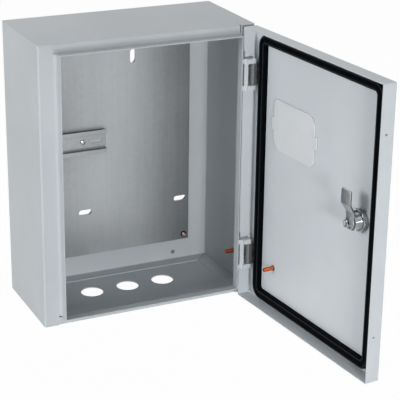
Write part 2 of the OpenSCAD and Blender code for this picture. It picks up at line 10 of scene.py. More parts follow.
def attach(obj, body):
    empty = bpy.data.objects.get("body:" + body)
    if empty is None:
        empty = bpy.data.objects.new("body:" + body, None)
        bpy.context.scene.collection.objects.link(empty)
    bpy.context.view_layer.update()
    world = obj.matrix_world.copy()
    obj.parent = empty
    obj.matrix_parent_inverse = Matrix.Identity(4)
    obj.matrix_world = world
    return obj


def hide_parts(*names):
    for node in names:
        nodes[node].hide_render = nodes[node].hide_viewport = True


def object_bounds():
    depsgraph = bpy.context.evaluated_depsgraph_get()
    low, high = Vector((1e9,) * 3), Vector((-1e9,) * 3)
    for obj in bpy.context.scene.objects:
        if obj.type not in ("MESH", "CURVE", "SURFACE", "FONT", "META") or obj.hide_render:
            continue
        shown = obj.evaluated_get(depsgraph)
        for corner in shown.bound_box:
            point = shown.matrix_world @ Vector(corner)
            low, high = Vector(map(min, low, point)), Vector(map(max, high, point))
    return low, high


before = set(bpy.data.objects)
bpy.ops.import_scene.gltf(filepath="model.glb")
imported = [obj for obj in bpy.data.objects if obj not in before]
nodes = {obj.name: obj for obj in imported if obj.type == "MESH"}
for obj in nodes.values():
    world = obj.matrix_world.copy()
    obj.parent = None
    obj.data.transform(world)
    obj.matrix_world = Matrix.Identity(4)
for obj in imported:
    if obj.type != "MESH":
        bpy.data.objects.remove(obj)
cad_low, cad_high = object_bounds()

MM = 0.001
MICRON = 0.000001
QUARTER = math.pi / 2

# directions in the cabinet's frame
RIGHT = (1, 0, 0)
LEFT = (-1, 0, 0)
INWARD = (0, 1, 0)
OUTWARD = (0, -1, 0)

# places and sizes of the solids, in millimetres and degrees, with the door shut
PIN = np.array((146.5, -161.0, 0.0))
DOOR_OPEN = 95
DOOR_IN = -168.8
BACK_IN = -1.2
PLATE_STUD, PLATE_STUD_X, PLATE_STUD_Z = 21, 112, 152.5
EARTH_STUD = 16
WALL_EARTH = (153.8, -104, -150.5)
DOOR_EARTH = (94, DOOR_IN, -136.5)
RIVET_X, RIVET_Y, RIVET_Z = (-79.5, -46.5), -10.5, 13.5
PLUG = (100, 0, -184.5)
GASKET_X, GASKET_Z, GASKET_R, GASKET_ASIDE = 131.6, 185.1, 11.0, 2.0
LOCK = np.array((-103.0, 0.0, 5.0))
LOCK_FRONT, LOCK_END = -174.0, -151.8
WASHER = 1.2
NUT_ACROSS, NUT_HIGH = 28, 6.0
BOLT_ACROSS, BOLT_HIGH, BOLT_DEEP = 10, 5.0, 7
CAM_START = -151.5
CAM_T, CAM_STEP, CAM_BEND, CAM_TURN = 2.5, 7.5, 3.0, 32
CAM_LOW, CAM_TIP, CAM_TAIL = 13.0, 45.5, 9.0
CAM_NARROW, CAM_WIDE, CAM_CORNER, CAM_ROUND = 7.5, 10, 3, 0.7

# points round a stud, a rivet or the plug, and round the lock's pieces
RING = 48
LOCK_RING = 96

# camera, fitted to the cabinet's corners in the photograph: metres, degrees, and the focus in pixels
CAMERA_PLACE = (-0.716, -1.817, 0.6625)
CAMERA_YAW = 25.36
CAMERA_PITCH = 20.96
CAMERA_ROLL = 0.77
CAMERA_FOCUS = 1424
CAMERA_NEAR = 0.05
PICTURE = 400
SENSOR = 36

# lamps: name, place in metres, width of the disk, watts; all point at one place in the open cabinet
LAMP_AIM = (0.03, -0.15, 0)
LAMPS = (
    ("front", (-0.66, -4.57, 0.50), 0.8, 110),
    ("above", (-0.8, -2.6, 4.0), 2.0, 13),
    ("left", (-7.45, -0.35, 2.87), 3.4, 296),
    ("behind", (0, 1.971, 2.121), 0.9, 16),
    ("right", (7.0, 1.0, 2.0), 3.0, 220),
)

# floor: half its width and how far it lies under the cabinet, in metres, points along a side, share of white
FLOOR_HALF = 30.0
FLOOR_DROP = 0.35
FLOOR_POINTS = 5
FLOOR_WHITE = 0.97

# tints of the greys, and plain colours
COOL = (0.935, 1.0, 1.045)
COLD = (0.955, 1.0, 1.03)
COLDER = (0.955, 1.0, 1.035)
INKY = (0.7, 1.0, 1.4)
# bluish tint of the painted highlight on the gasket's crests
CREST_HIGHLIGHT_TINT = (0.92, 1.0, 1.08)
# near black of the painted shade at a stud's foot
FOOT_SHADE_BLACK = (0.05, 0.028, 0.02, 1)
DOME = (0.165, 0.167, 0.169, 1)
WHITE = (1, 1, 1, 1)

# sockets of a colour Mix node by number, because their names repeat
MIX_SHARE, MIX_A, MIX_B, MIX_RESULT = 0, 6, 7, 2

# most of a noise texture lies between these two values
NOISE = (0.3, 0.7)


def make_camera():
    """The view direction is turned by yaw round Z and lowered by pitch, then rolled about itself."""
    yaw, pitch, roll = (math.radians(angle) for angle in (CAMERA_YAW, CAMERA_PITCH, CAMERA_ROLL))
    level = Vector((math.sin(yaw), math.cos(yaw), 0))
    right = Vector((math.cos(yaw), -math.sin(yaw), 0))
    ahead = level * math.cos(pitch) - Vector((0, 0, math.sin(pitch)))
    up = level * math.sin(pitch) + Vector((0, 0, math.cos(pitch)))
    side = right * math.cos(roll) + up * math.sin(roll)
    top = up * math.cos(roll) - right * math.sin(roll)
    camera = bpy.data.cameras.new("camera")
    camera.sensor_width = SENSOR
    camera.lens = CAMERA_FOCUS / PICTURE * SENSOR
    camera.clip_start = CAMERA_NEAR
    obj = bpy.data.objects.new("camera", camera)
    obj.matrix_world = Matrix((
        (side.x, top.x, -ahead.x, CAMERA_PLACE[0]),
        (side.y, top.y, -ahead.y, CAMERA_PLACE[1]),
        (side.z, top.z, -ahead.z, CAMERA_PLACE[2]),
        (0, 0, 0, 1)))
    bpy.context.scene.collection.objects.link(obj)
    bpy.context.scene.camera = obj


class Tree:
    """Short calls to place and join shader nodes in one material, world or group."""

    def __init__(self, graph):
        self.graph = graph

    def add(self, kind, values=None, **settings):
        """A node of that kind; values fill its sockets, with a number or another node's socket."""
        made = self.graph.nodes.new(kind)
        for key, value in settings.items():
            setattr(made, key, value)
        for key, value in (values or {}).items():
            self.put(made.inputs[key], value)
        return made

    def put(self, socket, value):
        """Links the socket to another node's socket, or sets its own value."""
        if isinstance(value, bpy.types.NodeSocket):
            self.graph.links.new(value, socket)
        else:
            socket.default_value = value

    def math(self, operation, *values):
        """The result of one Math node."""
        made = self.add("ShaderNodeMath", operation=operation)
        for socket, value in zip(made.inputs, values):
            self.put(socket, value)
        return made.outputs[0]

    def times(self, value, share):
        return self.math("MULTIPLY", value, share)

    def blend(self, a, share_a, b, share_b):
        """Two values, each times its share, added up."""
        return self.math("ADD", self.times(a, share_a), self.times(b, share_b))

    def mix(self, share, a, b):
        """Colour a, which goes over to colour b as the share rises to 1."""
        made = self.add("ShaderNodeMix", data_type="RGBA")
        self.put(made.inputs[MIX_SHARE], share)
        self.put(made.inputs[MIX_A], a)
        self.put(made.inputs[MIX_B], b)
        return made.outputs[MIX_RESULT]

    def span(self, value, low, high, to_low=0.0, to_high=1.0):
        """The value's way from low to high, carried over to another range."""
        return self.add("ShaderNodeMapRange", {"Value": value, "From Min": low, "From Max": high,
                                               "To Min": to_low, "To Max": to_high}).outputs[0]

    def noise(self, place, scale, detail, rough):
        return self.add("ShaderNodeTexNoise", {"Vector": place, "Scale": scale, "Detail": detail,
                                               "Roughness": rough}).outputs["Fac"]

    def part(self, vector, letter):
        """One of the X, Y and Z parts of a vector."""
        return self.add("ShaderNodeSeparateXYZ", {"Vector": vector}).outputs[letter]

    def corners(self, reach, free, shut, alone):
        """A mask of inner corners: 0 on open faces, 1 where near faces shut out much of the light."""
        near = self.add("ShaderNodeAmbientOcclusion", {"Distance": reach}, samples=8, only_local=alone)
        return self.span(near.outputs["AO"], free, shut)

    def shown_rays(self):
        """1 for rays that show the background itself: those of the camera, reflections and clear plastic."""
        ray = self.add("ShaderNodeLightPath").outputs
        bounced = self.math("MAXIMUM", ray["Is Glossy Ray"], ray["Is Transmission Ray"])
        return self.math("MAXIMUM", ray["Is Camera Ray"], bounced)


def make_group(name, inputs, outputs):
    """An empty shader group; each socket has its name and its kind, Float or Vector."""
    graph = bpy.data.node_groups.new(name, "ShaderNodeTree")
    for way, sockets in (("INPUT", inputs), ("OUTPUT", outputs)):
        for label, kind in sockets.items():
            graph.interface.new_socket(name=label, in_out=way, socket_type="NodeSocket" + kind)
    tree = Tree(graph)
    return tree, tree.add("NodeGroupInput").outputs, tree.add("NodeGroupOutput").inputs


def group_soft_edges():
    """Rounds edges in the shading: the normal near an edge is the mean of both faces.

    The mask is how far that normal leans away from the face's own.
    """
    tree, given, out = make_group("soft_edges", {"Radius": "Float"}, {"Normal": "Vector", "Edge": "Float"})
    rounded = tree.add("ShaderNodeBevel", {"Radius": given["Radius"]}, samples=4).outputs[0]
    flat = tree.add("ShaderNodeNewGeometry").outputs["Normal"]
    cosine = tree.add("ShaderNodeVectorMath", {0: rounded, 1: flat}, operation="DOT_PRODUCT").outputs["Value"]
    tree.put(out["Normal"], rounded)
    tree.put(out["Edge"], tree.span(cosine, 0.99, 0.75))
    return tree.graph


def group_coat():
    """Powder coat: a fine orange-peel height and a slow cloud that shifts the tone."""
    tree, given, out = make_group("coat", {"Place": "Vector", "Peel": "Float", "Cloud": "Float"},
                                  {"Height": "Float", "Tone": "Float"})
    place, peel = given["Place"], given["Peel"]
    fine = tree.noise(place, peel, detail=2.0, rough=0.55)
    coarse = tree.noise(place, tree.times(peel, 0.35), detail=1.0, rough=0.5)
    cloud = tree.noise(place, given["Cloud"], detail=3.0, rough=0.55)
    tree.put(out["Height"], tree.blend(fine, 0.6, coarse, 0.4))
    tree.put(out["Tone"], tree.span(cloud, *NOISE))
    return tree.graph


def group_brushed():
    """Rolled sheet: long streaks along Z, and patches made of clouds and small crystals."""
    tree, given, out = make_group("brushed", {"Place": "Vector", "Streak": "Float"},
                                  {"Height": "Float", "Streaks": "Float", "Patches": "Float"})
    place, streak = given["Place"], given["Streak"]
    along = tree.add("ShaderNodeMapping", {"Vector": place, "Scale": (1.0, 1.0, 0.03)}).outputs[0]
    fine = tree.noise(along, streak, detail=3.0, rough=0.6)
    wide = tree.noise(along, tree.times(streak, 0.22), detail=2.0, rough=0.5)
    streaks = tree.blend(fine, 0.55, wide, 0.45)
    crystal = tree.add("ShaderNodeTexVoronoi", {"Vector": place, "Scale": 160.0}).outputs["Color"]
    grain = tree.add("ShaderNodeSeparateColor", {"Color": crystal}).outputs[0]
    cloud = tree.span(tree.noise(place, 6.0, detail=4.0, rough=0.6), *NOISE)
    tree.put(out["Height"], streaks)
    tree.put(out["Streaks"], tree.span(streaks, *NOISE))
    tree.put(out["Patches"], tree.blend(grain, 0.25, cloud, 0.75))
    return tree.graph


SOFT = group_soft_edges()
COAT = group_coat()
BRUSHED = group_brushed()


def new_material(name):
    """A new material: its tree, the shader's inputs and the Object coordinates."""
    made = bpy.data.materials.new(name)
    made.use_nodes = True
    tree = Tree(made.node_tree)
    shader = made.node_tree.nodes["Principled BSDF"].inputs
    place = tree.add("ShaderNodeTexCoord").outputs["Object"]
    return made, tree, shader, place


def bump(tree, shader, height, depth, strength, normal=None):
    """Feeds the shader's normal with a height, over a given normal where there is one."""
    made = tree.add("ShaderNodeBump", {"Height": height, "Distance": depth, "Strength": strength})
    if normal is not None:
        tree.put(made.inputs["Normal"], normal)
    tree.put(shader["Normal"], made.outputs[0])


def placed(tree, group, **values):
    """A group placed in a material, with its own values."""
    return tree.add("ShaderNodeGroup", values, node_tree=group).outputs


def grey(value, tint=(1.0, 1.0, 1.0)):
    return (value * tint[0], value * tint[1], value * tint[2], 1.0)


def paint(name, dark, light, edge, rough, corner_shade=0.0):
    """Powder coat with orange peel and slow tone drift; paler edges are a painted highlight, darker inner
    corners painted shade.
    """
    made, tree, shader, place = new_material(name)
    soft = placed(tree, SOFT, Radius=0.0006)
    coat = placed(tree, COAT, Place=place, Peel=1100.0, Cloud=7.0)
    tone = tree.mix(coat["Tone"], dark, light)
    if corner_shade:
        # Inner corners mixed toward near black: painted shade.
        shade = tree.corners(reach=0.007, free=0.97, shut=0.5, alone=True)
        tone = tree.mix(tree.times(shade, corner_shade), tone, grey(0.08))
    # Edges mixed toward the edge colour: a painted highlight.
    tree.put(shader["Base Color"], tree.mix(tree.times(soft["Edge"], 0.5), tone, edge))
    tree.put(shader["Roughness"], tree.span(coat["Height"], *NOISE, rough - 0.06, rough + 0.06))
    shader["Specular IOR Level"].default_value = 0.45
    bump(tree, shader, coat["Height"], 60 * MICRON, 0.35, soft["Normal"])
    return made


def zinc(name, dark, light, rough, streak, metallic=0.9, pale=0.0, level_face_shade=0.0, corner_shade=0.0, edge_highlight=0.0):
    """Galvanised sheet: streaks over patchy zinc.

    A swaying band along its middle is paler by pale: a painted reflection. Level faces and inner corners
    are darkened to near black by painted shade, each by its own share. Edges are paler by a painted
    highlight.
    """
    made, tree, shader, place = new_material(name)
    soft = placed(tree, SOFT, Radius=0.0009 if edge_highlight else 0.0004)
    sheet = placed(tree, BRUSHED, Place=place, Streak=streak)
    light_share = tree.blend(sheet["Streaks"], 0.4, sheet["Patches"], 0.6)
    # A paler swaying band along the middle: a painted reflection.
    if pale:
        sway = tree.times(tree.math("SUBTRACT", tree.noise(place, 5.0, detail=2.0, rough=0.5), 0.5), 0.08)
        aside = tree.math("ADD", tree.part(place, "X"), tree.math("SUBTRACT", sway, 0.012))
        band = tree.span(tree.math("ABSOLUTE", aside), 0.105, 0.02)
        light_share = tree.blend(light_share, 1 - pale, band, pale)
    tone = tree.mix(light_share, dark, light)
    # Level faces and inner corners mixed toward near black: painted shade.
    if level_face_shade or corner_shade:
        normal = tree.add("ShaderNodeNewGeometry").outputs["True Normal"]
        level = tree.span(tree.math("ABSOLUTE", tree.part(normal, "Z")), 0.3, 0.9)
        shade = tree.corners(reach=0.004, free=0.95, shut=0.55, alone=False)
        painted_shade = tree.math("MAXIMUM", tree.times(level, level_face_shade), tree.times(shade, corner_shade))
        tone = tree.mix(painted_shade, tone, grey(0.06))
    # Edges mixed toward pale grey: a painted highlight.
    if edge_highlight:
        tone = tree.mix(tree.times(soft["Edge"], edge_highlight), tone, grey(0.72))
    tree.put(shader["Base Color"], tone)
    tree.put(shader["Roughness"], tree.span(sheet["Patches"], 0.0, 1.0, rough + 0.06, rough - 0.06))
    shader["Metallic"].default_value = metallic
    bump(tree, shader, sheet["Height"], 50 * MICRON, 0.4, soft["Normal"])
    return made


def bright_metal(name, dark, light, rough, marks, depth, edge_highlight=0.0):
    """Plated metal: fine turning marks and a slow tone drift, with edges paler by a painted highlight.

    The drift is a faint tarnish, and on the lock's chrome and zinc mostly painted reflection. Where the
    piece's marked points say so, it is darkened to near black: painted shade.
    """
    made, tree, shader, place = new_material(name)
    soft = placed(tree, SOFT, Radius=0.0004)
    coat = placed(tree, COAT, Place=place, Peel=marks, Cloud=45.0)
    # Marked points mixed toward near black: painted shade.
    foot_shade = tree.add("ShaderNodeAttribute", attribute_name="foot_shade").outputs["Fac"]
    tone = tree.mix(foot_shade, tree.mix(coat["Tone"], dark, light), FOOT_SHADE_BLACK)
    # Edges mixed toward pale grey: a painted highlight.
    if edge_highlight:
        tone = tree.mix(tree.times(soft["Edge"], edge_highlight), tone, grey(0.8))
    tree.put(shader["Base Color"], tone)
    tree.put(shader["Roughness"], tree.span(coat["Height"], *NOISE, rough * 0.85, rough * 1.15))
    shader["Metallic"].default_value = 1.0
    bump(tree, shader, coat["Height"], depth, 0.3, soft["Normal"])
    return made


def rubber(name, dark, light, rough, grain, depth, gloss=0.25, crest_highlight=0.0):
    """Foam rubber or plastic with a fine skin, and a faint painted highlight where its crest attribute is
    high.
    """
    made, tree, shader, place = new_material(name)
    coat = placed(tree, COAT, Place=place, Peel=grain, Cloud=60.0)
    tone = tree.mix(coat["Tone"], dark, light)
    if crest_highlight:
        # Ridge crests mixed toward a bluish grey: a painted highlight.
        crest = tree.add("ShaderNodeAttribute", attribute_name="crest").outputs["Fac"]
        tone = tree.mix(tree.times(crest, crest_highlight), tone, grey(0.06, CREST_HIGHLIGHT_TINT))
    tree.put(shader["Base Color"], tone)
    tree.put(shader["Roughness"], tree.span(coat["Height"], *NOISE, rough - 0.08, rough + 0.1))
    shader["Specular IOR Level"].default_value = gloss
    bump(tree, shader, coat["Height"], depth, 0.6)
    return made


def milky(name, dark, light):
    """Milky clear plastic: light from behind comes through, softened by a frosted face."""
    made, tree, shader, place = new_material(name)
    coat = placed(tree, COAT, Place=place, Peel=500.0, Cloud=30.0)
    tree.put(shader["Base Color"], tree.mix(coat["Tone"], dark, light))
    tree.put(shader["Roughness"], tree.span(coat["Height"], *NOISE, 0.35, 0.5))
    shader["Transmission Weight"].default_value = 0.12
    shader["IOR"].default_value = 1.49
    bump(tree, shader, coat["Height"], 40 * MICRON, 0.2)
    return made


def open_door(points):
    """Places with the door shut are turned about the hinge pin by the opening angle."""
    cosine, sine = math.cos(math.radians(DOOR_OPEN)), math.sin(math.radians(DOOR_OPEN))
    spin = np.array(((cosine, -sine, 0), (sine, cosine, 0), (0, 0, 1)))
    return (points - PIN) @ spin.T + PIN


def laid(grid, base, axis, side):
    """A local grid set on a base point: its third coordinate is along the axis, its first along the side."""
    axis, side = np.array(axis, float), np.array(side, float)
    return np.array(base, float) + grid @ np.stack([side, np.cross(axis, side), axis])


def shell(grid, loop):
    """Corner points and faces of one closed shell.

    Columns run round it. Rows close to a ring, or the first and the last row each end in a middle point.
    All faces are turned round where the volume inside them comes out negative.
    """
    rows, cols = grid.shape[:2]
    points = grid.reshape(-1, 3)
    index = np.arange(rows * cols).reshape(rows, cols)
    low, high = (index, np.roll(index, -1, 0)) if loop else (index[:-1], index[1:])
    quads = np.stack([low, np.roll(low, -1, 1), np.roll(high, -1, 1), high], -1).reshape(-1, 4)
    tris = np.empty((0, 3), int)
    if not loop:
        points = np.vstack([points, grid[0].mean(0), grid[-1].mean(0)])
        first, last = np.full(cols, rows * cols), np.full(cols, rows * cols + 1)
        tris = np.vstack([np.stack([first, np.roll(index[0], -1), index[0]], -1),
                          np.stack([last, index[-1], np.roll(index[-1], -1)], -1)])
    middle = points - points.mean(0)
    a, b, c = (middle[corner] for corner in np.vstack([quads[:, :3], quads[:, [0, 2, 3]], tris]).T)
    inside_out = np.einsum("ij,ij->", a, np.cross(b, c)) < 0
    return points, [faces[:, ::-1] if inside_out else faces for faces in (quads, tris)]


def skin(name, grids, material, body, slot, *replaced, loop=False, sharp=40):
    """One piece from closed shells: smooth where neighbouring faces meet at less than the sharp angle."""
    points, faces, count = [], [], 0
    for grid in grids:
        corners, parts = shell(grid, loop)
        points.append(corners)
        faces += [row for part in parts for row in (part + count).tolist()]
        count += len(corners)
    mesh = bpy.data.meshes.new(name)
    mesh.from_pydata((np.vstack(points) * MM).tolist(), [], faces)
    mesh.shade_smooth()
    mesh.set_sharp_from_angle(angle=math.radians(sharp))
    mesh.materials.append(material)
    obj = bpy.data.objects.new(name, mesh)
    bpy.context.scene.collection.objects.link(obj)
    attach(obj, body)
    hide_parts(*replaced)
    return obj


def mark(obj, name, values):
    """Stores one number for each corner point, for the material to read."""
    layer = obj.data.attributes.new(name, "FLOAT", "POINT")
    layer.data.foreach_set("value", np.asarray(values, np.float32))


def turned(along, radius, cols=RING):
    """Rings of a radius, one for each place along the axis; the radius may also change round the ring."""
    angle = np.linspace(0, 2 * math.pi, cols, endpoint=False)
    along, radius = np.asarray(along, float)[:, None], np.asarray(radius, float)
    radius = radius[:, None] if radius.ndim == 1 else radius
    axial = np.broadcast_to(along, (len(along), cols))
    return np.stack([radius * np.cos(angle), radius * np.sin(angle), axial], -1)


def threaded(start, end, radius, depth, pitch, cols=RING):
    """A screw thread: the radius falls and rises once each pitch along the axis, a pitch later each turn."""
    along = np.arange(start, end, pitch / 8)
    turn = np.linspace(0, 1, cols, endpoint=False)
    wave = np.abs(2 * ((along[:, None] / pitch - turn) % 1) - 1)
    groove = np.clip(1.25 * wave - 0.125, 0, 1)
    fade = np.clip(np.minimum(along - start, end - along) / pitch, 0, 1)[:, None]
    return turned(along, radius - depth * groove * fade, cols)


def six_flats(across, cols):
    """Distance to a hexagon's side at each angle: half its width over the cosine from the flat's middle."""
    angle = np.linspace(0, 2 * math.pi, cols, endpoint=False)
    return across / 2 / np.cos(angle % (math.pi / 3) - math.pi / 6)


def chamfered(along, across, low, high, cols):
    """A hexagon with its corners cut by a cone at each given end: the lesser radius of hexagon and cone."""
    face, slope = across * 0.485, math.sqrt(3)
    cone = np.full(len(along), np.inf)
    if low is not None:
        cone = np.minimum(cone, face + (along - low) * slope)
    if high is not None:
        cone = np.minimum(cone, face + (high - along) * slope)
    return turned(along, np.minimum(six_flats(across, cols), cone[:, None]), cols)


def make_studs(copper, copper_painted_highlight):
    """Six weld studs, each a flat foot, a thread and a cone at the tip: four for the plate, two for earth."""
    foot = turned((0, 0.7, 1.0, 1.25), (3.75, 3.75, 3.4, 2.9))

    def stud(length):
        thread = threaded(1.3, length - 1.2, radius=3.0, depth=0.42, pitch=1.0)
        tip = turned((length - 1.0, length - 0.4, length), (2.95, 2.5, 2.1))
        return np.vstack([foot, thread, tip])

    places = [(x, BACK_IN, z) for x in (-PLATE_STUD_X, PLATE_STUD_X) for z in (-PLATE_STUD_Z, PLATE_STUD_Z)]
    plate = [laid(stud(PLATE_STUD), place, OUTWARD, RIGHT) for place in places]
    wall = [laid(stud(EARTH_STUD), WALL_EARTH, LEFT, INWARD)]
    door = [open_door(laid(stud(EARTH_STUD), DOOR_EARTH, INWARD, RIGHT))]
    for name, grids, material, body, node in (
            ("plate_stud_set", plate, copper_painted_highlight, "cabinet", "plate_studs"),
            ("earth_stud", wall, copper, "cabinet", "body_earth_stud"),
            ("door_stud", door, copper, "door", "door_earth_stud")):
        made = skin(name, grids, material, body, "stud_copper", node)
        rows, cols = grids[0].shape[:2]
        # The foot's rows are marked for painted shade where the stud meets the sheet it stands on.
        painted_shade_rows = np.append(np.repeat(np.arange(rows) < len(foot), cols), (True, False))
        mark(made, "foot_shade", np.tile(painted_shade_rows, len(grids)))


def make_gasket(foam):
    """A section with two ridges is carried round a rectangle with round corners.

    Each point lies off the path along the path's normal, and above the door's inner face by its height.
    """
    bow = np.radians(np.linspace(0, 150, 9))
    ridge = np.stack([4.5 + 2.2 * np.cos(bow), 5.3 + 2.2 * np.sin(bow)], -1)
    right = np.vstack([((7.0, 0.0), (6.9, 1.5), (6.75, 4.4)), ridge, ((1.5, 6.2), (0.0, 6.12))])
    section = np.vstack([right, right[-2::-1] * (-1, 1)])
    turn = np.linspace(0, QUARTER, 13)
    angle = np.concatenate([turn + corner * QUARTER for corner in range(4)])
    normal = np.stack([np.cos(angle), np.sin(angle)], -1)
    signs = np.repeat(((1, 1), (-1, 1), (-1, -1), (1, -1)), len(turn), axis=0)
    path = signs * (GASKET_X - GASKET_R, GASKET_Z - GASKET_R) + normal * GASKET_R
    flat = path[:, None] + normal[:, None] * section[None, :, :1]
    height = np.broadcast_to(DOOR_IN + section[:, 1], flat.shape[:2])
    ring = np.stack([flat[..., 0] - GASKET_ASIDE, height, flat[..., 1]], -1)
    made = skin("gasket_ring", [open_door(ring)], foam, "door", "gasket_rubber", "door_gasket",
                loop=True, sharp=50)
    crest = np.clip((section[:, 1] - 7.1) / 0.4, 0, 1)
    mark(made, "crest", np.tile(crest, len(path)))


def at_lock(stretches, start):
    """Turned stretches are joined, set on the lock axis, which points inward, and opened with the door."""
    return open_door(laid(np.vstack(stretches), LOCK + (0, start, 0), INWARD, RIGHT))


def make_lock(chrome, zinc_plate):
    """Threaded housing, hexagon nut and hexagon bolt of the lock, all turned about the lock axis."""
    length = LOCK_END - LOCK_FRONT
    flange = turned((0, 0, 0.3, 0.9, 2.6, 3.0, 3.0), (7.66, 14.1, 14.7, 15, 15, 14.8, 11), LOCK_RING)
    barrel = threaded(3.2, length - 0.8, radius=11, depth=0.8, pitch=1.5, cols=LOCK_RING)
    bore = turned((length - 0.7, length, length, 2.0, 2.0), (10.9, 10.2, 6.56, 6.56, 7.66), LOCK_RING)
    skin("threaded_housing", [at_lock([flange, barrel, bore], LOCK_FRONT)], chrome,
         "door", "lock_chrome", "lock_housing", loop=True)
    rise = np.array((0, 0.25, 0.5, 0.8, 1.1, 1.5, 4.5, 4.9, 5.2, 5.5, 5.75, NUT_HIGH))
    base = turned((0,), (11.7,), LOCK_RING)
    sides = chamfered(rise, NUT_ACROSS, 0, NUT_HIGH, LOCK_RING)
    hole = turned((NUT_HIGH, 5.4, 0.6), (11.7, 11.1, 11.1), LOCK_RING)
    skin("hexagon_nut", [at_lock([base, sides, hole], DOOR_IN + WASHER)], chrome,
         "door", "lock_chrome", "lock_nut", loop=True)
    seat = CAM_START + CAM_T + WASHER
    rise = np.array((0.2, 2.5, 3.9, 4.3, 4.6, 4.8, BOLT_HIGH))
    shank = turned((LOCK_END - BOLT_DEEP - seat, -0.1, 0, 0.2), (2.97, 2.97, 4.6, 4.75), LOCK_RING)
    head = chamfered(rise, BOLT_ACROSS, None, BOLT_HIGH, LOCK_RING)
    dimple = turned((BOLT_HIGH, 4.5), (3.0, 2.4), LOCK_RING)
    skin("hexagon_bolt", [at_lock([shank, head, dimple], seat)], zinc_plate,
         "lock_rotor", "lock_zinc", "cam_bolt")


def cam_path():
    """Middle line of the bent cam: level, an arc, a slope, the arc back, level; and how far it leans."""
    mid, turn = CAM_BEND + CAM_T / 2, math.radians(CAM_TURN)
    slope = (CAM_STEP - 2 * mid * (1 - math.cos(turn))) / math.sin(turn)
    high = CAM_LOW + 2 * mid * math.sin(turn) + slope * math.cos(turn)
    bow = np.linspace(0, turn, 9)
    back = bow[::-1]
    eye = -CAM_TAIL * np.cos(np.linspace(0.12, QUARTER, 10))
    tail = np.concatenate([eye, np.linspace(1, CAM_LOW - 0.5, 8)])
    square = CAM_TIP - CAM_CORNER
    rounding = square + CAM_CORNER * np.sin(np.linspace(0.1, 1.52, 9))
    tip = np.concatenate([np.linspace(high + 0.5, square, 8), rounding])
    y = np.concatenate([np.full(tail.size, CAM_T / 2),
                        CAM_T + CAM_BEND - mid * np.cos(bow),
                        CAM_STEP - CAM_BEND + mid * np.cos(back),
                        np.full(tip.size, CAM_STEP + CAM_T / 2)])
    z = np.concatenate([tail, CAM_LOW + mid * np.sin(bow), high - mid * np.sin(back), tip])
    lean = np.concatenate([np.zeros(tail.size), bow, back, np.zeros(tip.size)])
    return y, z, lean, high


def make_cam(zinc_plate):
    """A strip with rounded edges along the cam's path.

    Its half width is a circle's at the lock, widens to the tongue and is rounded at the tongue's corners.
    """
    y, z, lean, high = cam_path()
    taper = np.interp(z, (0, high + CAM_T), (CAM_NARROW, CAM_WIDE))
    eye = np.sqrt(np.clip(CAM_TAIL ** 2 - z ** 2, 0, None))
    past = np.clip(z - CAM_TIP + CAM_CORNER, 0, CAM_CORNER)
    corner = CAM_WIDE - CAM_CORNER + np.sqrt(np.clip(CAM_CORNER ** 2 - past ** 2, 0.05, None))
    half = np.where(z < 0, eye, np.minimum(np.maximum(taper, eye), corner))
    end = np.clip(np.minimum(z + CAM_TAIL, CAM_TIP - z), 0, CAM_ROUND)
    thick = CAM_T / 2 - CAM_ROUND + np.sqrt(CAM_ROUND ** 2 - (CAM_ROUND - end) ** 2)
    edge = np.minimum(CAM_ROUND, thick * 0.95)
    quarter = np.linspace(0, QUARTER, 6)
    angle = np.concatenate([quarter + corner * QUARTER for corner in range(4)])
    sign_x = np.repeat((1, -1, -1, 1), len(quarter))
    sign_y = np.repeat((1, 1, -1, -1), len(quarter))
    half, thick, edge, lean = half[:, None], thick[:, None], edge[:, None], lean[:, None]
    across = sign_x * (half - edge) + edge * np.cos(angle)
    over = sign_y * (thick - edge) + edge * np.sin(angle)
    strip = np.stack([across, y[:, None] - over * np.cos(lean), z[:, None] + over * np.sin(lean)], -1)
    skin("bent_cam", [open_door(strip + LOCK + (0, CAM_START, 0))], zinc_plate,
         "lock_rotor", "lock_zinc", "lock_cam")


def make_rivets(fixing, plug_grey):
    """Domed heads: rings shrink along a quarter circle; the rail's rivets keep a small hole in the middle."""
    bow = np.linspace(0, QUARTER - 0.28, 7)
    head = turned(np.concatenate([(0, 0.7, 0.7, 3.2), 3.2 + 1.4 * np.sin(bow), (4.45, 4.0)]),
                  np.concatenate([(2.8, 2.8, 2.0, 2.0), 3.6 * np.cos(bow), (0.85, 0.75)]))
    heads = [laid(head, (x, RIVET_Y, RIVET_Z), OUTWARD, RIGHT) for x in RIVET_X]
    skin("rail_rivet_set", heads, fixing, "cabinet", "fixing_steel", "rail_rivets")
    cap = turned(np.concatenate([(0, 1.2), 1.2 + 0.8 * np.sin(bow)]),
                 np.concatenate([(2.0, 2.0), 3.2 * np.cos(bow)]))
    skin("wall_plug_cap", [laid(cap, PLUG, OUTWARD, RIGHT)], plug_grey,
         "cabinet", "plug_plastic", "back_wall_plug")


def dress(material, *names):
    """Gives solids of the frame a finish in place of their own."""
    for name in names:
        mesh = nodes[name].data
        mesh.materials.clear()
        mesh.materials.append(material)


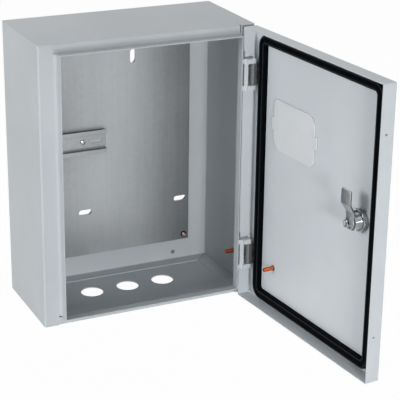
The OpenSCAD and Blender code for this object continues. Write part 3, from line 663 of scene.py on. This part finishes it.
def make_cabinet():
    """Makes every finish, dresses the solids that stay, and makes the pieces that replace the others."""
    # each coat's edge colour is a painted highlight along its edges
    wall = dict(dark=grey(0.475, COOL), light=grey(0.52, COOL), edge=grey(0.63), rough=0.45)
    coat = paint("cabinet_coat", **wall)
    # the roof's coat paints shade into its inner corners, as at the root of its lip
    roof_coat = paint("roof_coat", **wall, corner_shade=0.95)
    # the door's coat is a paler copy of the cabinet's coat: painted light on the door
    door_coat = paint("door_coat", grey(0.57, COOL), grey(0.62, COOL), edge=grey(0.69), rough=0.42)
    hinge_coat = paint("hinge_coat", grey(0.55, COOL), grey(0.60, COOL), edge=grey(0.75), rough=0.38)
    # the plate's paler middle band is a painted reflection
    plate = zinc("plate_zinc", grey(0.24, COLDER), grey(0.495, COLD), rough=0.42, streak=420.0, pale=0.62)
    # the rail's level faces and inner corners get painted shade, its edges a painted highlight
    rail = zinc("rail_zinc", grey(0.32, COLDER), grey(0.46, COLD), rough=0.36, streak=300.0,
                level_face_shade=0.6, corner_shade=0.55, edge_highlight=0.6)
    knuckle = zinc("hinge_zinc", grey(0.125, COLD), grey(0.18, COLD), rough=0.46, streak=300.0,
                   metallic=0.6, edge_highlight=1.0)
    stud_marks = dict(marks=900.0, depth=40 * MICRON)
    copper = bright_metal("stud_copper", (0.36, 0.072, 0.018, 1), (0.56, 0.14, 0.036, 1),
                          rough=0.30, **stud_marks)
    # a paler copy of the copper for the plate's studs: a painted highlight
    copper_painted_highlight = bright_metal("copper_painted_highlight", (0.52, 0.30, 0.25, 1), (0.74, 0.54, 0.49, 1),
                               rough=0.26, **stud_marks)
    fixing = bright_metal("fixing_zinc", grey(0.42), grey(0.62), rough=0.30, marks=700.0, depth=40 * MICRON)
    # on the lock's chrome and zinc the tone swings from near black to light in slow patches: painted
    # reflection
    lock_marks = dict(marks=500.0, depth=20 * MICRON)
    chrome = bright_metal("lock_chrome", grey(0.10, COLD), grey(0.56, COLD),
                          rough=0.14, edge_highlight=0.6, **lock_marks)
    lock_zinc = bright_metal("lock_zinc", grey(0.20, COLD), grey(0.60, COLD),
                             rough=0.18, edge_highlight=0.8, **lock_marks)
    cam_zinc = bright_metal("cam_zinc", grey(0.36, COLD), grey(0.46, COLD),
                            rough=0.36, edge_highlight=0.7, **lock_marks)
    plastic = dict(rough=0.4, grain=900.0, depth=40 * MICRON)
    black = rubber("black_plastic", grey(0.012), grey(0.022), **plastic)
    plug_grey = rubber("plug_grey", grey(0.16), grey(0.22), **plastic)
    foam = rubber("gasket_foam", grey(0.001, INKY), grey(0.003, INKY), rough=0.38, grain=700.0,
                  depth=80 * MICRON, gloss=0.015, crest_highlight=0.42)
    pane = milky("pane_milky", (0.69, 0.72, 0.735, 1), (0.73, 0.75, 0.765, 1))
    dress(coat, "body_wrap", "floor_panel")
    dress(roof_coat, "roof_panel")
    dress(door_coat, "door_panel")
    dress(hinge_coat, "upper_body_leaf", "lower_body_leaf")
    dress(knuckle, "upper_door_leaf", "lower_door_leaf")
    dress(plate, "mounting_plate")
    dress(rail, "top_hat_rail")
    dress(fixing, "plate_spacers", "body_leaf_rivets", "door_leaf_rivets", "upper_pin", "lower_pin")
    dress(chrome, "lock_core")
    dress(lock_zinc, "lock_washer", "cam_washer")
    dress(black, "plate_washers")
    dress(foam, "window_seal", "lock_seal")
    dress(pane, "window_pane")
    make_studs(copper, copper_painted_highlight)
    make_gasket(foam)
    make_lock(chrome, lock_zinc)
    make_cam(cam_zinc)
    make_rivets(fixing, plug_grey)


def make_world():
    """A soft pale dome lights the cabinet; rays that show the background itself see plain white."""
    world = bpy.data.worlds.new("studio")
    world.use_nodes = True
    tree = Tree(world.node_tree)
    back = world.node_tree.nodes["Background"].inputs
    tree.put(back["Color"], tree.mix(tree.shown_rays(), DOME, WHITE))
    back["Strength"].default_value = 1.0
    bpy.context.scene.world = world


def make_floor():
    """A wide flat grid well under the cabinet; it shows almost white and keeps a soft shadow."""
    steps = np.linspace(-FLOOR_HALF, FLOOR_HALF, FLOOR_POINTS)
    x, y = np.meshgrid(steps, steps, indexing="ij")
    points = np.stack([x.ravel(), y.ravel(), np.full(x.size, cad_low.z - FLOOR_DROP)], -1)
    index = np.arange(x.size).reshape(x.shape)
    faces = np.stack([index[:-1, :-1], index[1:, :-1], index[1:, 1:], index[:-1, 1:]], -1).reshape(-1, 4)
    mesh = bpy.data.meshes.new("floor")
    mesh.from_pydata(points.tolist(), [], faces.tolist())
    obj = bpy.data.objects.new("floor", mesh)
    bpy.context.scene.collection.objects.link(obj)
    made = bpy.data.materials.new("floor_pale")
    made.use_nodes = True
    tree = Tree(made.node_tree)
    shader = made.node_tree.nodes["Principled BSDF"]
    shader.inputs["Base Color"].default_value = grey(0.8)
    shader.inputs["Roughness"].default_value = 0.9
    glow = tree.add("ShaderNodeEmission", {"Color": WHITE, "Strength": 1.0})
    share = tree.times(tree.shown_rays(), FLOOR_WHITE)
    both = tree.add("ShaderNodeMixShader", {0: share, 1: shader.outputs[0], 2: glow.outputs[0]})
    tree.put(made.node_tree.nodes["Material Output"].inputs["Surface"], both.outputs[0])
    mesh.materials.append(made)


def make_lamps():
    """Round area lamps, each turned so that it shines at the open cabinet."""
    for name, place, size, watts in LAMPS:
        lamp = bpy.data.lights.new(name, "AREA")
        lamp.shape = "DISK"
        lamp.size = size
        lamp.energy = watts
        obj = bpy.data.objects.new(name, lamp)
        obj.location = place
        obj.rotation_mode = "QUATERNION"
        obj.rotation_quaternion = (Vector(LAMP_AIM) - Vector(place)).to_track_quat("-Z", "Y")
        bpy.context.scene.collection.objects.link(obj)


make_camera()
make_cabinet()
make_world()
make_floor()
make_lamps()
bpy.context.scene.view_settings.view_transform = "Standard"
